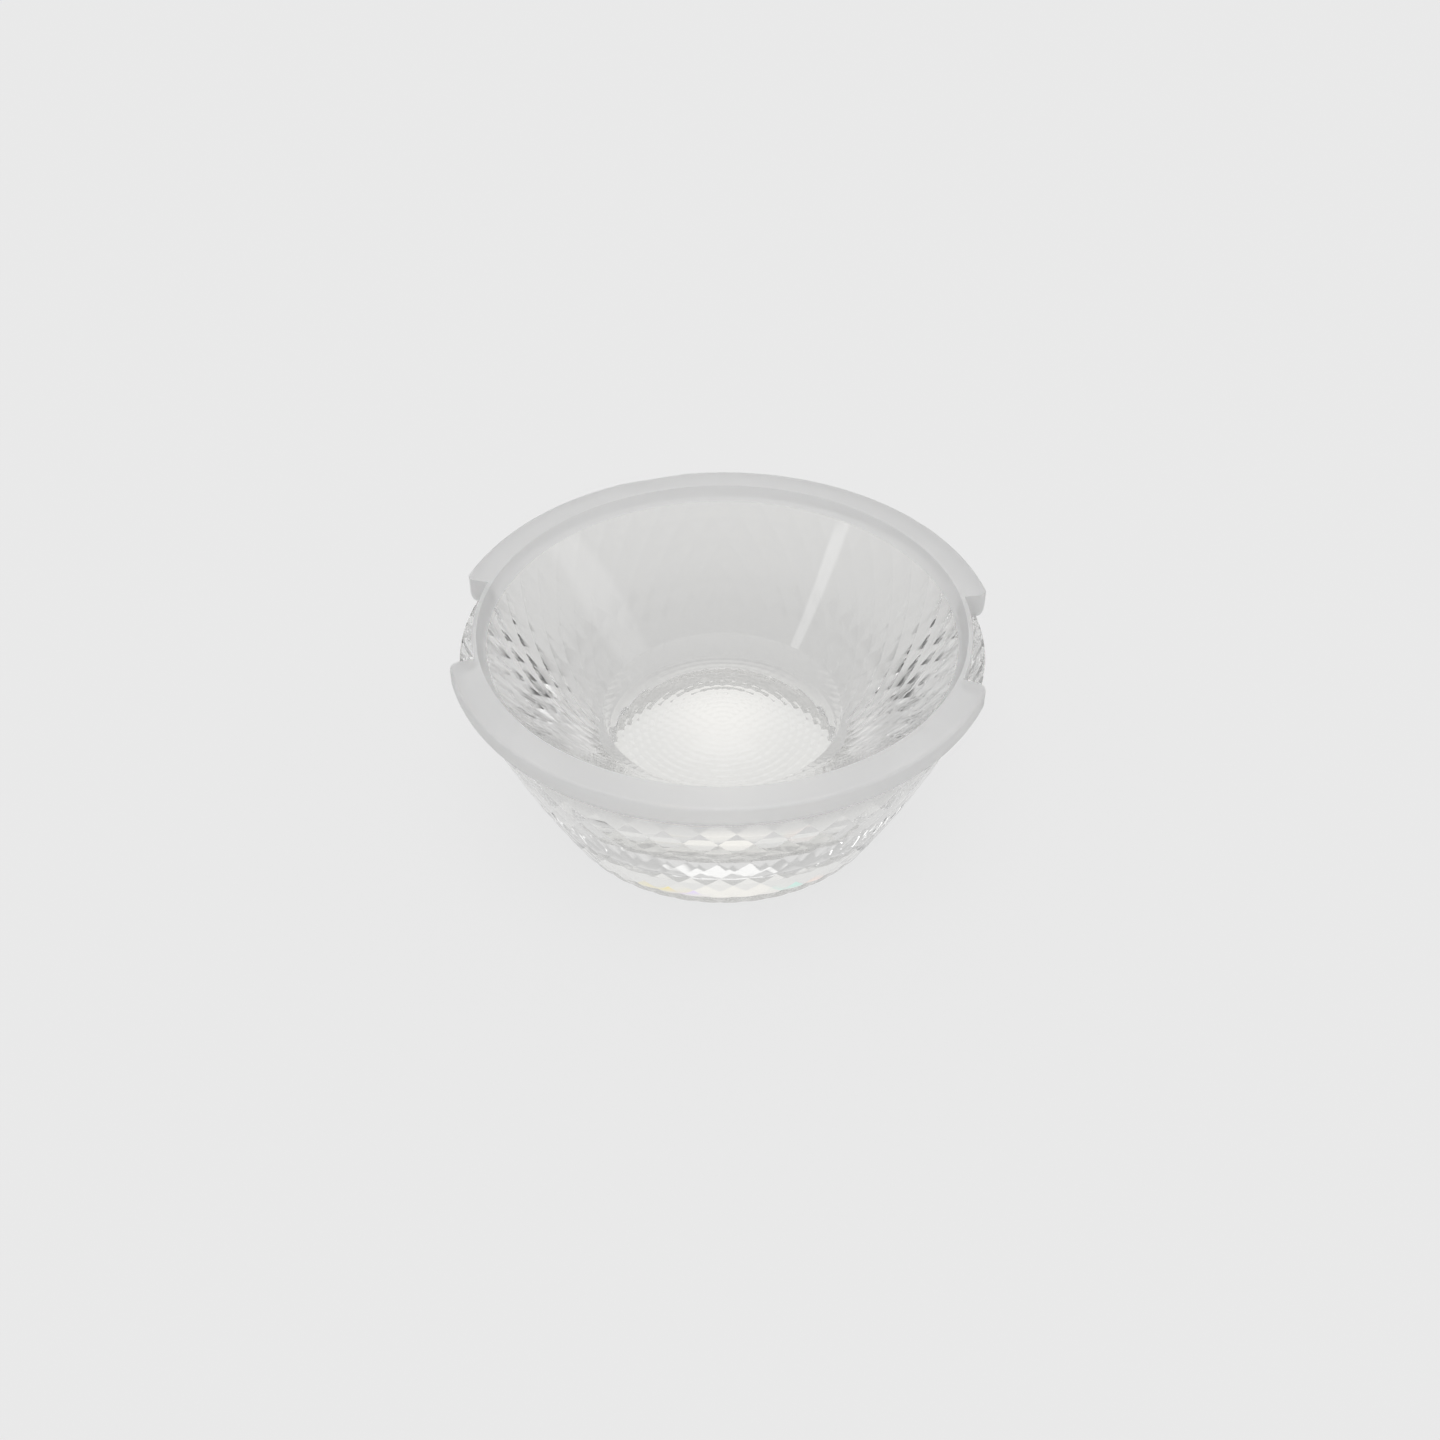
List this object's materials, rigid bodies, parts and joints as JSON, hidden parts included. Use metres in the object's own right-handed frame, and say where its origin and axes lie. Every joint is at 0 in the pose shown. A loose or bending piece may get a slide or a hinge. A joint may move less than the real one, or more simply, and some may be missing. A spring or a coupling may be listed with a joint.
{
  "type": "downlight lens",
  "caption": "Clear moulded bowl lens for a recessed downlight, with a notched flange and a faceted reflecting wall.",
  "frame": {"origin": "centre of the flat base ring, on the optical axis", "axes": "+Z along the optical axis towards the side the light leaves by; +X to the right and -Y to the front of the pictured view"},
  "size_m": [0.0486, 0.05, 0.02],
  "materials": {
    "clear_acrylic": "clear moulded acrylic, polished, with polished flat facets on the outside of the reflecting wall"
  },
  "bodies": {
    "root": {"downlight_lens": "clear_acrylic"}
  },
  "joints": []
}
